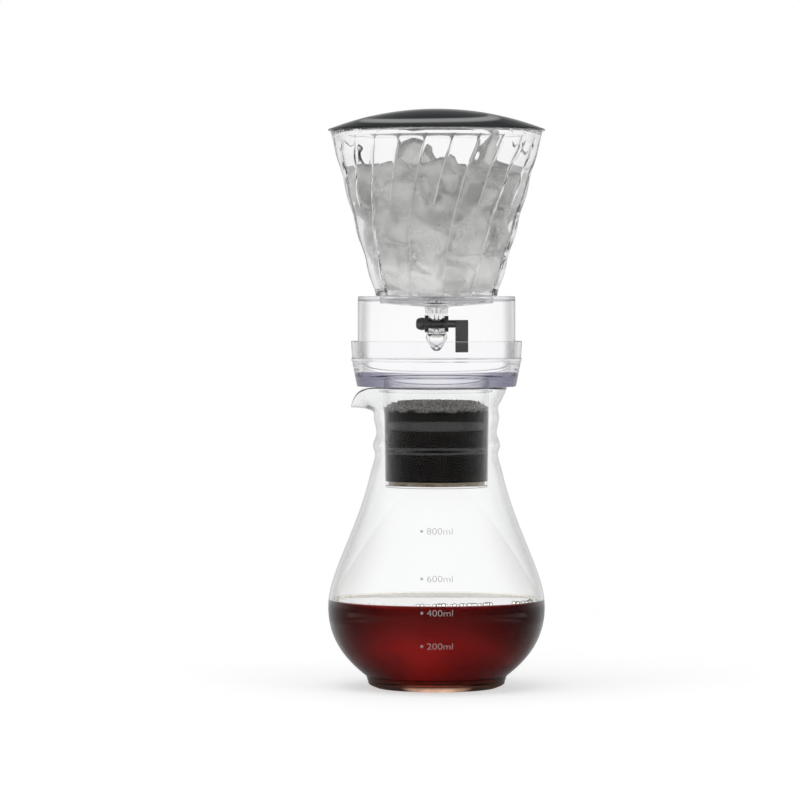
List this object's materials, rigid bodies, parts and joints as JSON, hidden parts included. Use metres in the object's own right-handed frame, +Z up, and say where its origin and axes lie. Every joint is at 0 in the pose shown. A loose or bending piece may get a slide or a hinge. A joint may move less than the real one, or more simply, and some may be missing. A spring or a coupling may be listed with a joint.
{
  "type": "cold drip coffee tower",
  "caption": "Table-top cold drip coffee tower: fluted ice-water container with a drip tap, over a filter cup of ground coffee hung in the neck of a glass carafe with a spout.",
  "frame": {"origin": "centre of the carafe's base, on the surface it stands on", "axes": "+Z up along the tower's axis; -X towards the carafe's spout; +X towards the tap's lever"},
  "size_m": [0.1184, 0.1184, 0.315],
  "materials": {
    "carafe_glass": "gloss",
    "coffee": "gloss",
    "collar_plastic": "gloss",
    "clear_plastic": "gloss",
    "plate_plastic": "satin",
    "filter_paper": "matte",
    "grounds": "matte",
    "fluted_plastic": "gloss",
    "ice": "satin",
    "valve_plastic": "gloss",
    "seal_rubber": "matte",
    "tap_plastic": "satin",
    "lid_plastic": "satin"
  },
  "bodies": {
    "carafe": {"carafe": "carafe_glass", "brewed_coffee": "coffee"},
    "collar": {"collar": "collar_plastic"},
    "filter_cup": {"filter_cup": "clear_plastic", "filter_plate": "plate_plastic", "paper_filter": "filter_paper", "coffee_grounds": "grounds"},
    "drip_chamber": {"drip_chamber": "clear_plastic"},
    "water_container": {"water_container": "fluted_plastic", "ice_charge": "ice", "valve_body": "valve_plastic", "stem_seal": "seal_rubber", "drip_nozzle": "valve_plastic"},
    "tap": {"valve_plug": "tap_plastic", "plug_seals": "seal_rubber", "nut_washer": "seal_rubber", "lever_washer": "seal_rubber", "plug_nut": "tap_plastic", "tap_lever": "tap_plastic"},
    "lid": {"lid": "lid_plastic"}
  },
  "joints": [
    {"name": "collar_lift", "type": "slide", "parent": "carafe", "child": "collar", "axis": [0, 0, 1], "range_m": [0, 0.07]},
    {"name": "cup_lift", "type": "slide", "parent": "collar", "child": "filter_cup", "axis": [0, 0, 1], "range_m": [0, 0.09]},
    {"name": "chamber_lift", "type": "slide", "parent": "filter_cup", "child": "drip_chamber", "axis": [0, 0, 1], "range_m": [0, 0.04]},
    {"name": "container_lift", "type": "slide", "parent": "drip_chamber", "child": "water_container", "axis": [0, 0, 1], "range_m": [0, 0.06]},
    {"name": "lid_lift", "type": "slide", "parent": "water_container", "child": "lid", "axis": [0, 0, 1], "range_m": [0, 0.06]},
    {"name": "tap_turn", "type": "hinge", "parent": "water_container", "child": "tap", "pos_m": [0, 0, 0.1986], "axis": [1, 0, 0], "range_deg": [-90, 90]}
  ]
}
